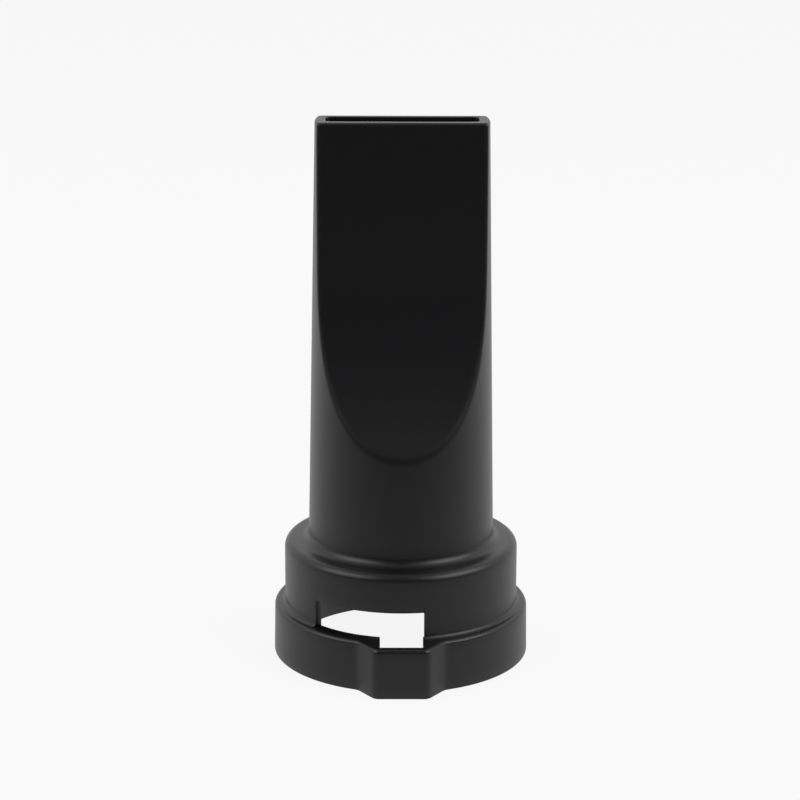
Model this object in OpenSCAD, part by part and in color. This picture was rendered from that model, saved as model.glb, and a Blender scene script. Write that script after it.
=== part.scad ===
// Flat outlet nozzle for a pet dryer hose, with a two-pin bayonet socket at the bottom.
// It is one hollow plastic moulding, open from the socket to the slit at the top.
// Millimetres. The origin is the centre of the bottom face, and +Z runs up the nozzle.
// The slit runs along X, and the two flat faces look towards -Y and +Y.

/* [Body] */
// Height from the bottom face to the outlet rim
total_h = 128; // [112:0.5:160]
// Width of the outlet, which is the diameter of the round body at the rim
outlet_w = 40; // [34:0.1:44]
// Diameter of the round body where it meets the collar
body_foot_d = 43.7; // [40:0.1:46]
// Wall of the round body
body_wall = 2.5; // [1.5:0.1:3.5]

/* [Flat faces] */
// Depth of the outlet over both walls
outlet_depth = 9.8; // [8:0.1:14]
// Wall of the flat faces
face_wall = 2.1; // [1.2:0.1:2.6]
// Lean of the straight upper stretch of a face, in degrees
face_taper = 4; // [1:0.5:8]
// Length of the straight upper stretch of a face
face_straight = 35; // [15:1:50]
// Radius of the hollow sweep from the straight stretch out to the round body
face_sweep_r = 80; // [50:1:120]

/* [Collar] */
// Diameter of the collar
collar_d = 55.1; // [54:0.1:55.6]
// Height of the collar's shoulder above the bottom face
collar_h = 27.7; // [24:0.1:36]
// Rounding of the shoulder's outer edge
shoulder_round = 2; // [0.5:0.1:3]
// Fillet between the shoulder and the round body
body_fillet = 2.2; // [0.5:0.1:3]
// Thickness of the shoulder over the socket
shoulder_t = 2; // [1.2:0.1:3]

/* [Ring] */
// Diameter of the bottom ring at its top
ring_d = 60; // [59.5:0.1:62]
// How much wider the ring is at the bottom face, for draft
ring_draft = 0.4; // [0:0.1:1]
// Height of the ring
ring_h = 12; // [9:0.1:15]
// Rounding of the ring's upper outer edge
ring_round = 1; // [0.3:0.1:1.2]
// Fillet between the ring and the collar
ring_fillet = 1.2; // [0.3:0.1:1.4]

/* [Socket] */
// Bore of the socket, which slides over the hose end
socket_d = 51.5; // [50:0.1:52]

/* [Bayonet] */
// Width of the channel that lets a pin in from below
channel_w = 9.9; // [7:0.1:11]
// Distance from the axis to the flat face of a pin bulge
bulge_reach = 34; // [33:0.1:36]
// Width of the flat face of a pin bulge
bulge_face_w = 12.4; // [12:0.1:15]
// Slope of the sides of a bulge, in degrees from its flat face
bulge_slope = 55; // [45:1:65]
// Wall of a bulge in front of its channel
bulge_wall = 2; // [1.2:0.1:2.5]
// Rounding of the upright edges of a bulge
bulge_round = 2; // [0.5:0.1:2.5]
// Fillet where a bulge runs out into the ring
bulge_fillet = 2.5; // [1:0.1:4]
// Height of the window that a pin turns in, above the ring
window_h = 6.45; // [5:0.05:8]
// Turn from the middle of the channel to the closed end of the window, in degrees
window_turn = 46; // [35:1:60]
// Play between the channel and the open end of the window
window_play = 0.25; // [0:0.05:0.5]

/* [Hidden] */
$fn = 128;

// Overshoot of a cut past the face that it opens
over = 1;
// An arc passes the lines that it blends by this much, which is too little to see or feel
bite = 0.002;
outlet_r = outlet_w / 2;
body_foot_r = body_foot_d / 2;
collar_r = collar_d / 2;
ring_r = ring_d / 2;
ring_foot_r = ring_r + ring_draft / 2;
socket_r = socket_d / 2;
// Height of the round body, and its lean from upright
body_h = total_h - collar_h;
body_lean = atan((body_foot_r - outlet_r) / body_h);
// Roof of the socket, under the shoulder
socket_h = collar_h - shoulder_t;
// Half depth of the outlet, and the height at which the sweep begins
outlet_half = outlet_depth / 2;
sweep_z = total_h - face_straight;
sweep_y = outlet_half + face_straight * tan(face_taper);
// Pins enter at the front and at the rear
PIN_SIDES = [0, 180];
// Sharp corner of a bulge, the direction of its side and the normal of that side
bulge_corner = [bulge_face_w / 2, bulge_reach];
side_dir = [cos(bulge_slope), -sin(bulge_slope)];
side_out = [sin(bulge_slope), cos(bulge_slope)];
// Everything that is cut through the collar or the ring stops before this radius
clear_r = bulge_reach + 2 * over;

// Radius of the outside of the round body at height z
function body_r(z) = outlet_r + (total_h - z) * tan(body_lean);

// Distance along a bulge's side from its corner to the centre of a circle of radius r
// that touches the side from outside and the ring
function run_out(r) =
    let (p = bulge_corner + r * side_out, b = p * side_dir, c = p * p - pow(ring_r + r, 2))
    -b - sqrt(b * b - c);

// Outline of the ring, half of a section
module ring_section() {
    polygon([
        [0, 0],
        [ring_foot_r, 0],
        [ring_r, ring_h - ring_round],
        [ring_r - ring_round, ring_h],
        [0, ring_h]
    ]);
    translate([ring_r - ring_round, ring_h - ring_round])
        circle(r = ring_round);
    // Fillet up to the collar
    difference() {
        translate([collar_r - over, ring_h - over])
            square(ring_fillet + over);
        translate([collar_r + ring_fillet, ring_h + ring_fillet])
            circle(r = ring_fillet);
    }
}

// Outline of the collar, half of a section
module collar_section() {
    polygon([
        [0, 0],
        [collar_r, 0],
        [collar_r, collar_h - shoulder_round],
        [collar_r - shoulder_round, collar_h],
        [0, collar_h]
    ]);
    translate([collar_r - shoulder_round, collar_h - shoulder_round])
        circle(r = shoulder_round);
}

// Outline of the round body, half of a section, with the fillet at its foot
module body_section() {
    fillet_z = collar_h + body_fillet;
    fillet_r = body_r(fillet_z) + body_fillet / cos(body_lean);
    polygon([
        [0, collar_h - over],
        [body_r(collar_h - over), collar_h - over],
        [outlet_r, total_h],
        [0, total_h]
    ]);
    difference() {
        polygon([
            [body_r(collar_h) - over, collar_h - over],
            [fillet_r, collar_h - over],
            [fillet_r, collar_h],
            [fillet_r - body_fillet * cos(body_lean), fillet_z + body_fillet * sin(body_lean)],
            [body_r(fillet_z) - over, fillet_z]
        ]);
        translate([fillet_r, fillet_z])
            circle(r = body_fillet + bite);
    }
}

// What a flat face leaves free, seen from the side, at an inset from the outer face
module face_free(inset) {
    // The straight stretch touches the sweep here
    touch = [sweep_y - inset * cos(face_taper), sweep_z - inset * sin(face_taper)];
    centre = touch + (face_sweep_r + inset) * [cos(face_taper), sin(face_taper)];
    top_z = total_h + 2 * over;
    // The faces end above the collar, however long the sweep is
    foot_z = collar_h + body_fillet - inset;
    intersection() {
        union() {
            translate(centre)
                circle(r = face_sweep_r + inset + bite, $fn = 256);
            polygon([
                touch,
                [touch[0] - (top_z - touch[1]) * tan(face_taper), top_z],
                [centre[0], top_z],
                centre
            ]);
        }
        translate([0, foot_z])
            square([centre[0], top_z - foot_z]);
    }
}

// The same over the whole width, in front of one face
module face_cut(inset) {
    rotate([90, 0, -90])
        linear_extrude(height = 2 * body_foot_r + 2 * over, center = true)
            face_free(inset);
}

// Round body with its two flat faces, over the collar and the ring
module outside() {
    difference() {
        rotate_extrude()
            union() {
                ring_section();
                collar_section();
                body_section();
            }
        for (turn = PIN_SIDES)
            rotate(turn)
                face_cut(0);
    }
}

// Duct from the socket to the slit
module duct() {
    low = socket_h - over;
    high = total_h + over;
    difference() {
        translate([0, 0, low])
            cylinder(h = high - low, r1 = body_r(low) - body_wall, r2 = body_r(high) - body_wall);
        for (turn = PIN_SIDES)
            rotate(turn)
                face_cut(face_wall);
    }
}

// Half of a bulge's plan, with its upright edge rounded and its foot filleted
module bulge_half() {
    tangent = bulge_round * tan(bulge_slope / 2);
    round_centre = bulge_corner - [tangent, bulge_round];
    run = run_out(bulge_fillet);
    fillet_centre = bulge_corner + run * side_dir + bulge_fillet * side_out;
    fillet_end = fillet_centre * ring_r / (ring_r + bulge_fillet);
    polygon([
        [0, 0],
        [0, bulge_reach],
        [bulge_corner[0] - tangent, bulge_reach],
        bulge_corner + tangent * side_dir,
        bulge_corner + (run + 2 * bulge_fillet) * side_dir
    ]);
    translate(round_centre)
        circle(r = bulge_round + bite);
    difference() {
        polygon([[0, 0], bulge_corner + run * side_dir, fillet_centre, fillet_end]);
        translate(fillet_centre)
            circle(r = bulge_fillet + bite);
    }
}

// Bulge that stands out from the ring over a pin channel, towards -Y
module bulge() {
    linear_extrude(height = ring_h)
        rotate(180) {
            bulge_half();
            mirror([1, 0])
                bulge_half();
        }
}

// Channel that a pin comes up through, open at the bottom and above the ring
module pin_channel() {
    reach = bulge_reach - bulge_wall;
    translate([-channel_w / 2, -reach, -over])
        cube([channel_w, reach, ring_h + window_h / 2 + over]);
}

// Window through the collar that a pin turns in, with its floor level with the ring
module window() {
    near = socket_r / 2;
    far = clear_r + over;
    open_x = channel_w / 2 + window_play;
    translate([0, 0, ring_h])
        linear_extrude(height = window_h)
            polygon([
                near * [-sin(window_turn), -cos(window_turn)],
                far / cos(window_turn / 2) * [-sin(window_turn), -cos(window_turn)],
                [open_x, -far / cos(window_turn / 2)],
                [open_x, -near]
            ]);
}

// Nozzle, collar and ring in one moulding
module nozzle() {
    color("#26262b")
        difference() {
            union() {
                outside();
                for (turn = PIN_SIDES)
                    rotate(turn)
                        bulge();
            }
            duct();
            translate([0, 0, -over])
                cylinder(h = socket_h + over, r = socket_r);
            for (turn = PIN_SIDES)
                rotate(turn) {
                    pin_channel();
                    window();
                }
        }
}

nozzle();
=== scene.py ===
import math

import bmesh
import bpy
import numpy as np
from mathutils import Matrix, Vector


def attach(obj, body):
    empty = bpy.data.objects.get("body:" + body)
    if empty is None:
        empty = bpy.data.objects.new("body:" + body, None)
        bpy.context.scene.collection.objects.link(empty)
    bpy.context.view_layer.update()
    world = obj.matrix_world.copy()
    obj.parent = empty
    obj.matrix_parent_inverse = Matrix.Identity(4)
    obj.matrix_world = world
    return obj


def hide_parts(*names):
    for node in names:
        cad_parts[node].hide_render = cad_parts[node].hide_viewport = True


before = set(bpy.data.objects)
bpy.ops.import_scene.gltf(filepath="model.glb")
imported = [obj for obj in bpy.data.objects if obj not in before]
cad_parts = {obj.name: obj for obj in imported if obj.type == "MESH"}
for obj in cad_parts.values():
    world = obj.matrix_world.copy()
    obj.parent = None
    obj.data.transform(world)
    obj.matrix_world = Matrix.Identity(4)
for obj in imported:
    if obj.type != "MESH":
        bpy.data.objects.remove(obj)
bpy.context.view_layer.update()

# ---- Camera -------------------------------------------------------------------------
# A short telephoto view from the front, a little above the outlet's flat face. It leans
# by a fifth of a degree and stands a little to the left, as the photograph does.
MM = 0.001
distance = 650 * MM
elevation = math.radians(16.494)
azimuth = math.radians(-0.4)
lean = math.radians(0.2)
aim = Vector((-0.335, 0, 61.4)) * MM
away = Vector((math.sin(azimuth) * math.cos(elevation), -math.cos(azimuth) * math.cos(elevation), math.sin(elevation)))
camera = bpy.data.objects.new("camera", bpy.data.cameras.new("camera"))
camera.data.sensor_width = 36
camera.data.lens = 36 * 2775.3 / 800
turn = (-away).to_track_quat("-Z", "Y").to_matrix() @ Matrix.Rotation(lean, 3, "Z")
camera.matrix_world = Matrix.Translation(aim + away * distance) @ turn.to_4x4()
bpy.context.scene.collection.objects.link(camera)
bpy.context.scene.camera = camera


# ---- Table --------------------------------------------------------------------------
# A pale matt paper sheet on the table. The camera sees it nearly white, as it sees the
# backdrop, and it keeps a soft shadow round the ring. In the plastic's reflections the
# sheet shows a painted reflection instead: it glows for glossy rays, with no shadow,
# bright behind the nozzle and dim in front of it.
def linear(code):
    """Linear colour of an sRGB hex code."""
    parts = [int(code[i:i + 2], 16) / 255 for i in (1, 3, 5)]
    return [c / 12.92 if c <= 0.04045 else ((c + 0.055) / 1.055) ** 2.4 for c in parts] + [1]


def add(tree, kind, settings=None, links=None):
    """A node in the tree, with its settings and with what feeds its inputs."""
    node = tree.nodes.new(kind)
    for name, value in (settings or {}).items():
        if name in node.inputs:
            node.inputs[name].default_value = value
        else:
            setattr(node, name, value)
    for name, source in (links or {}).items():
        tree.links.new(source, node.inputs[name])
    return node


paper = bpy.data.materials.new("paper, uncoated white")
paper.use_nodes = True
paper.node_tree.nodes.clear()
tree = paper.node_tree
path = add(tree, "ShaderNodeLightPath")
lit = add(tree, "ShaderNodeBsdfDiffuse", {"Color": linear("#c8c8ca")})
white = add(tree, "ShaderNodeEmission", {"Color": (1, 1, 1, 1), "Strength": 1})
seen = add(tree, "ShaderNodeMath", {"operation": "MULTIPLY"}, {0: path.outputs["Is Camera Ray"]})
seen.inputs[1].default_value = 0.9
# Painted reflection: glossy rays see the sheet glow, fading from full strength behind the nozzle to dim in front,
# unshadowed
spot = add(tree, "ShaderNodeNewGeometry")
sides = add(tree, "ShaderNodeSeparateXYZ", None, {0: spot.outputs["Position"]})
painted_reflection_falloff = add(tree, "ShaderNodeMapRange", {"interpolation_type": "SMOOTHSTEP", "From Min": -0.45, "From Max": 0.2,
                                        "To Min": 0.05, "To Max": 1.0}, {"Value": sides.outputs["Y"]})
painted_reflection_glow = add(tree, "ShaderNodeEmission", {"Color": (1, 1, 1, 1)}, {"Strength": painted_reflection_falloff.outputs["Result"]})
both = add(tree, "ShaderNodeMixShader", None, {"Fac": seen.outputs[0], 1: lit.outputs[0], 2: white.outputs[0]})
paper_with_painted_reflection = add(tree, "ShaderNodeMixShader", None, {"Fac": path.outputs["Is Glossy Ray"], 1: both.outputs[0], 2: painted_reflection_glow.outputs[0]})
add(tree, "ShaderNodeOutputMaterial", None, {"Surface": paper_with_painted_reflection.outputs[0]})

sheet = bpy.data.meshes.new("table")
sheet.from_pydata([(x * 4, y * 4, -0.05 * MM) for x, y in ((-1, -1), (1, -1), (1, 1), (-1, 1))], [], [(0, 1, 2, 3)])
table = bpy.data.objects.new("table", sheet)
table.data.materials.append(paper)
bpy.context.scene.collection.objects.link(table)

# ---- Lamps and backdrop -------------------------------------------------------------
# Two soft boxes, high at the left and the right, in front of a white backdrop that
# reaches round the sides. The room behind the camera is dim.
for name, side, power in (("left soft box", -1, 3.2), ("right soft box", 1, 4)):
    lamp = bpy.data.objects.new(name, bpy.data.lights.new(name, "AREA"))
    lamp.data.shape = "RECTANGLE"
    lamp.data.size = 0.7
    lamp.data.size_y = 0.5
    lamp.data.energy = power
    heading, height = math.radians(65 * side), math.radians(41)
    place = Vector((math.sin(heading) * math.cos(height), -math.cos(heading) * math.cos(height), math.sin(height)))
    lamp.matrix_world = Matrix.Translation(place * 0.9) @ place.to_track_quat("Z", "Y").to_matrix().to_4x4()
    bpy.context.scene.collection.objects.link(lamp)

room = bpy.data.worlds.new("studio")
room.use_nodes = True
room.node_tree.nodes.clear()
tree = room.node_tree
path = add(tree, "ShaderNodeLightPath")
way = add(tree, "ShaderNodeTexCoord")
parts = add(tree, "ShaderNodeSeparateXYZ", None, {0: way.outputs["Generated"]})
depth = add(tree, "ShaderNodeMapRange", {"interpolation_type": "SMOOTHSTEP", "From Min": -0.7, "From Max": 0.8,
                                         "To Min": 0.03, "To Max": 1.0}, {"Value": parts.outputs["Y"]})
strength = add(tree, "ShaderNodeMix", {"data_type": "FLOAT", "B": 1.0},
               {"Factor": path.outputs["Is Camera Ray"], "A": depth.outputs["Result"]})
shell = add(tree, "ShaderNodeBackground", {"Color": (1, 1, 1, 1)}, {"Strength": strength.outputs["Result"]})
add(tree, "ShaderNodeOutputWorld", None, {"Surface": shell.outputs[0]})
bpy.context.scene.world = room
bpy.context.scene.view_settings.view_transform = "Standard"

# ---- Nozzle: round body with two flat faces -----------------------------------------
# The upper part of the moulding: a slightly tapered tube that two hollow sweeps flatten
# at front and rear up to the outlet slit. Black plastic, one shot with the collar below.
height = 128
outlet_r = 20
foot_r = 21.85
shoulder_z = 27.7
outlet_half = 4.9
face_lean = math.radians(4)
sweep_z = 93
sweep_y = outlet_half + (height - sweep_z) * math.tan(face_lean)
sweep_r = 80
face_wall = 2.1
body_wall = 2.5
edge_round = 0.5
rim_round = 0.65


def cone_r(z):
    """Radius of the round body at height z."""
    return outlet_r + (height - z) * (foot_r - outlet_r) / (height - shoulder_z)


def face_y(z, inset=0):
    """Distance of a flat face from the axis at height z, and the cosine of its slope there."""
    touch_y = sweep_y - inset * math.cos(face_lean)
    touch_z = sweep_z - inset * math.sin(face_lean)
    centre_y = touch_y + (sweep_r + inset) * math.cos(face_lean)
    centre_z = touch_z + (sweep_r + inset) * math.sin(face_lean)
    rise = np.clip((centre_z - z) / (sweep_r + inset), math.sin(face_lean), 0.95)
    flare = np.sqrt(1 - rise ** 2)
    hollow = centre_y - (sweep_r + inset) * flare
    straight = touch_y - (z - touch_z) * math.tan(face_lean)
    return np.where(z > touch_z, straight, hollow), flare


def body_r(angle, z, inset=0, wall=0, face=0, soft=edge_round):
    """Radius of the body in the direction of an angle from the front, its edges rounded."""
    ring = cone_r(z) - wall - inset
    flat, flare = face_y(z, face)
    flat = flat - inset
    across = np.maximum(np.abs(np.cos(angle)), 1e-6)
    a = 1 + (flare * across) ** 2
    b = (ring - soft) + flare ** 2 * across * (flat - soft / flare)
    c = (ring - soft) ** 2 + flare ** 2 * (flat - soft / flare) ** 2 - soft ** 2
    r = (b + np.sqrt(np.maximum(b * b - a * c, 0))) / a
    rounded = (b * b > a * c) & (r > ring - soft) & (flare * (r * across - flat) > -soft)
    return np.where(rounded, r, np.minimum(ring, flat / across))


# ---- Nozzle: ring with its pin bulges, and the collar --------------------------------
# The foot of the moulding: a stepped collar on a wider ring, whose front and rear bulge
# out over the channels that let the two pins of the hose end in.
collar_r = 27.55
shoulder_round = 2
body_fillet = 2.2
ring_r = 30
ring_draft = 0.18
ring_z = 12
ring_round = 1
ring_fillet = 1.2
reach = 34
face_half = 6.2
slope = math.radians(55)
bulge_round = 2
bulge_fillet = 2.5
socket_r = 25.75
socket_z = 25.7
channel_half = 4.95
channel_reach = 32
window_z = 18.45
window_turn = math.radians(46)
window_open = 5.2


def ring_plan(angle, foot):
    """Radius of the ring in the direction of an angle from the front, with the bulge."""
    angle = np.abs(angle)
    along = np.array([math.cos(slope), -math.sin(slope)])
    out = np.array([math.sin(slope), math.cos(slope)])
    corner = np.array([face_half, reach])
    tangent = bulge_round * math.tan(slope / 2)
    centre = corner - [tangent, bulge_round]
    p = corner + bulge_fillet * out
    run = -p @ along - math.sqrt((p @ along) ** 2 - p @ p + (foot + bulge_fillet) ** 2)
    hollow = p + run * along
    ray = np.stack([np.sin(angle), np.cos(angle)], -1)
    flat = reach / ray[..., 1]
    nose = ray @ centre + np.sqrt(np.maximum((ray @ centre) ** 2 - centre @ centre + bulge_round ** 2, 0))
    side = (corner @ out) / (ray @ out)
    dish = ray @ hollow - np.sqrt(np.maximum((ray @ hollow) ** 2 - hollow @ hollow + bulge_fillet ** 2, 0))
    ends = [corner - [tangent, 0], corner + tangent * along, corner + run * along, hollow]
    limits = [math.atan2(x, y) for x, y in ends]
    return np.select([angle < limits[0], angle < limits[1], angle < limits[2], angle < limits[3]],
                     [flat, nose, side, dish], foot)


# Upright lines of the mesh, as angles from the front at the collar. They are close where
# an edge runs near them: the ends of the windows, the channels, and the flat faces.
def spread(start, end, step):
    count = max(1, round(abs(end - start) / step))
    return list(np.linspace(start, end, count, endpoint=False))


def at_x(x):
    return math.degrees(math.asin(x / collar_r))


turn = math.degrees(window_turn)
fine = (0, 0.08, 0.2, 0.4, 0.8, 1.2, 1.6, 2, 2.4)
lines = spread(-90, -80, 1.25) + spread(-80, -60, 0.5) + spread(-60, -turn, 0.9)
lines += spread(-turn, at_x(-channel_half - 2.8), 1.1)
lines += [at_x(-channel_half - f) for f in reversed(fine[1:])]
lines += [at_x(x) for x in np.linspace(-channel_half, channel_half, 11)]
lines += [at_x(window_open + f) for f in fine]
lines += spread(at_x(window_open + 2.8), 60, 1.05) + spread(60, 80, 0.5) + spread(80, 90, 1.25) + [90]
lines = np.radians(np.array(lines))
windows = (lines > -window_turn - 1e-6) & (lines < math.asin(window_open / collar_r) + 1e-6)
channel = np.abs(lines) < math.asin(channel_half / collar_r) + 1e-6
# Share of each line that runs straight back, as the channel's sides do, and not radially
straight = np.interp(np.abs(lines), np.radians([12, 30]), [1, 0])


def heading(r):
    """Angle of each upright line at radius r."""
    back = np.arcsin(np.clip(collar_r * np.sin(lines) / r, -1, 1))
    return straight * back + (1 - straight) * lines


def around(r, z, angle=None):
    """Points at radius r and height z on every upright line."""
    angle = heading(r) if angle is None else angle
    r, z = np.broadcast_to(r, lines.shape), np.broadcast_to(z, lines.shape)
    return np.stack([r * np.sin(angle), -r * np.cos(angle), z], 1)


# Plan of the ring at a height, and the way out of it at each point
def ring_outline(foot):
    angle = heading(np.full(lines.shape, foot))
    for _ in range(20):
        angle = heading(ring_plan(angle, foot))
    edge = around(ring_plan(angle, foot), 0, angle)
    step = 1e-4
    ahead = around(ring_plan(angle + step, foot), 0, angle + step)
    back = around(ring_plan(angle - step, foot), 0, angle - step)
    run = (ahead - back)[:, :2]
    out = np.stack([run[:, 1], -run[:, 0]], 1) / np.linalg.norm(run, axis=1)[:, None]
    return edge, np.concatenate([out, np.zeros((len(lines), 1))], 1)


def quarter(count):
    """Sines and cosines of even steps through a right angle."""
    steps = np.linspace(0, math.pi / 2, count + 1)
    return list(zip(np.sin(steps), np.cos(steps)))


def lift(points, z):
    return np.concatenate([points[:, :2], np.broadcast_to(z, (len(points),))[:, None]], 1)


foot_edge, foot_out = ring_outline(ring_r + ring_draft)
edge, out = ring_outline(ring_r)

# Rows of the outer skin from the bottom up
ring_rows = [lift(foot_edge, 0)]
for part in (0.25, 0.5, 0.75):
    ring_rows.append(lift(foot_edge + part * (edge - foot_edge), part * (ring_z - ring_round)))
for s, c in quarter(6):
    ring_rows.append(lift(edge - ring_round * (1 - c) * out, ring_z - ring_round + ring_round * s))
top_in = around(collar_r + ring_fillet, ring_z)
share = np.full(len(lines), (channel_reach - math.sqrt((collar_r + ring_fillet) ** 2 - channel_half ** 2))
                / (reach - ring_round - math.sqrt((collar_r + ring_fillet) ** 2 - channel_half ** 2)))
top_mid = top_in + share[:, None] * (ring_rows[-1] - top_in)
top_mid[channel, 1] = -channel_reach
top_mid[channel, 0] = collar_r * np.sin(lines[channel])

collar_rows = []
for s, c in quarter(6):
    collar_rows.append(around(collar_r + ring_fillet * (1 - s), ring_z + ring_fillet * (1 - c)))
wall_rows = [around(collar_r, z) for z in (window_z, window_z + 2.4, socket_z - 2.4, socket_z)]
shoulder_rows = []
for s, c in quarter(8)[1:]:
    shoulder_rows.append(around(collar_r - shoulder_round * (1 - c), shoulder_z - shoulder_round * (1 - s)))
fillet_z = shoulder_z + body_fillet
fillet_r = cone_r(fillet_z) + body_fillet
for s, c in quarter(8):
    z = fillet_z - body_fillet * c
    shoulder_rows.append(around(fillet_r - body_fillet * s, z))
body_rows = []
levels = spread(fillet_z + 3, 45, 3) + spread(45, 94, 0.8) + spread(94, height - rim_round - 0.6, 3.2)
levels += [height - rim_round - 0.6]
for z in levels:
    body_rows.append(around(body_r(lines, z), z, lines))
for s, c in quarter(5):
    z = height - rim_round + rim_round * s
    body_rows.append(around(body_r(lines, z, inset=rim_round * (1 - c)), z, lines))
duct_rows = []
for z in [height] + spread(height - 1, 94, 4) + spread(94, 46, 2.4) + [46, 36, socket_z]:
    duct_rows.append(around(body_r(lines, z, wall=body_wall, face=face_wall, soft=0.8), z, lines))

# ---- Nozzle: socket, windows and channels --------------------------------------------
# The bore that slides over the hose end. A pin comes up each channel and turns in the
# window above the ring, as a bayonet does. The mould's slides leave plain walls here.
bore_z = [0.0] + [row[0][2] for row in collar_rows] + [window_z, socket_z]
bore_rows = [around(socket_r, z) for z in bore_z]

skin = bmesh.new()


def patch(rows, keep=None):
    """Faces between rows of points, on the strips between upright lines that are kept."""
    grid = [[skin.verts.new(Vector(p) * MM) for p in row] for row in rows]
    for low, high in zip(grid, grid[1:]):
        for i in range(len(low) - 1):
            if keep is None or keep[i]:
                skin.faces.new((low[i], low[i + 1], high[i + 1], high[i]))


in_window = windows[:-1] & windows[1:]
in_channel = channel[:-1] & channel[1:]
last = {"foot_in": around(socket_r, 0), "ledge_in": around(socket_r, ring_z)}
foot_mid = lift(top_mid, 0)
foot_in = lift(top_in, 0)
# Outside, up over the rim and down the duct to the roof of the socket
patch(ring_rows + [top_mid])
patch([top_mid, top_in], ~in_channel)
patch(collar_rows + [wall_rows[0]], ~in_window)
patch(wall_rows + shoulder_rows + body_rows + duct_rows + [around(socket_r, socket_z)])
# Bore, ledge under the window, roof of the window, and the bottom face
patch(bore_rows[:2], ~in_channel)
patch(bore_rows[1:-1], ~in_window)
patch(bore_rows[-2:])
patch([top_in, last["ledge_in"]], in_window & ~in_channel)
patch([wall_rows[0], bore_rows[-2]], in_window)
patch([ring_rows[0], foot_mid])
patch([foot_mid, foot_in, last["foot_in"]], ~in_channel)
# Back wall of the channel, its two sides, and the two ends of the window
patch([foot_mid, top_mid], in_channel)
for i in np.flatnonzero(channel)[[0, -1]]:
    patch([[foot_mid[i], top_mid[i]], [foot_in[i], top_in[i]], [last["foot_in"][i], last["ledge_in"][i]]])
for i in np.flatnonzero(windows)[[0, -1]]:
    outer = [row[i] for row in collar_rows] + [wall_rows[0][i]]
    inner = [row[i] for row in bore_rows[1:-1]]
    patch([outer, inner])

# The rear half is the front half turned round
copy = bmesh.ops.duplicate(skin, geom=skin.verts[:] + skin.edges[:] + skin.faces[:])
turned = [v for v in copy["geom"] if isinstance(v, bmesh.types.BMVert)]
bmesh.ops.rotate(skin, verts=turned, cent=(0, 0, 0), matrix=Matrix.Rotation(math.pi, 3, "Z"))
bmesh.ops.remove_doubles(skin, verts=skin.verts, dist=0.002 * MM)
bmesh.ops.recalc_face_normals(skin, faces=skin.faces)
open_edges = sum(1 for e in skin.edges if len(e.link_faces) != 2)
print("nozzle mesh:", len(skin.verts), "points,", len(skin.faces), "faces,", open_edges, "open edges")

# Every edge that the mould leaves is broken by a small round
weight = skin.edges.layers.float.new("bevel_weight_edge")
for e in skin.edges:
    if len(e.link_faces) == 2 and e.calc_face_angle() > math.radians(35):
        e[weight] = 1
for f in skin.faces:
    f.smooth = True
mesh = bpy.data.meshes.new("nozzle_moulding")
skin.to_mesh(mesh)
skin.free()
moulding = bpy.data.objects.new("nozzle_moulding", mesh)
bpy.context.scene.collection.objects.link(moulding)
rounds = moulding.modifiers.new("broken edges", "BEVEL")
rounds.limit_method = "WEIGHT"
rounds.width = 0.22 * MM
rounds.segments = 3
rounds.use_clamp_overlap = False

# Satin black ABS, moulded in a fine-blasted tool: soft broad reflections, no sparkle,
# brighter only where it is seen at a low angle.
plastic = bpy.data.materials.new("ABS, black, moulded satin")
plastic.use_nodes = True
plastic.node_tree.nodes.clear()
tree = plastic.node_tree
where = add(tree, "ShaderNodeTexCoord")
grain = add(tree, "ShaderNodeTexNoise", {"Scale": 1 / (0.35 * MM), "Detail": 3, "Roughness": 0.6},
            {"Vector": where.outputs["Object"]})
relief = add(tree, "ShaderNodeBump", {"Strength": 0.08, "Distance": 0.02 * MM}, {"Height": grain.outputs["Fac"]})
gloss = add(tree, "ShaderNodeMapRange", {"To Min": 0.36, "To Max": 0.42}, {"Value": grain.outputs["Fac"]})
shade = add(tree, "ShaderNodeBsdfPrincipled", {"Base Color": linear("#111114"), "IOR": 1.5},
            {"Roughness": gloss.outputs["Result"], "Normal": relief.outputs["Normal"]})
add(tree, "ShaderNodeOutputMaterial", None, {"Surface": shade.outputs[0]})
moulding.data.materials.append(plastic)

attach(moulding, "root")
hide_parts("nozzle")
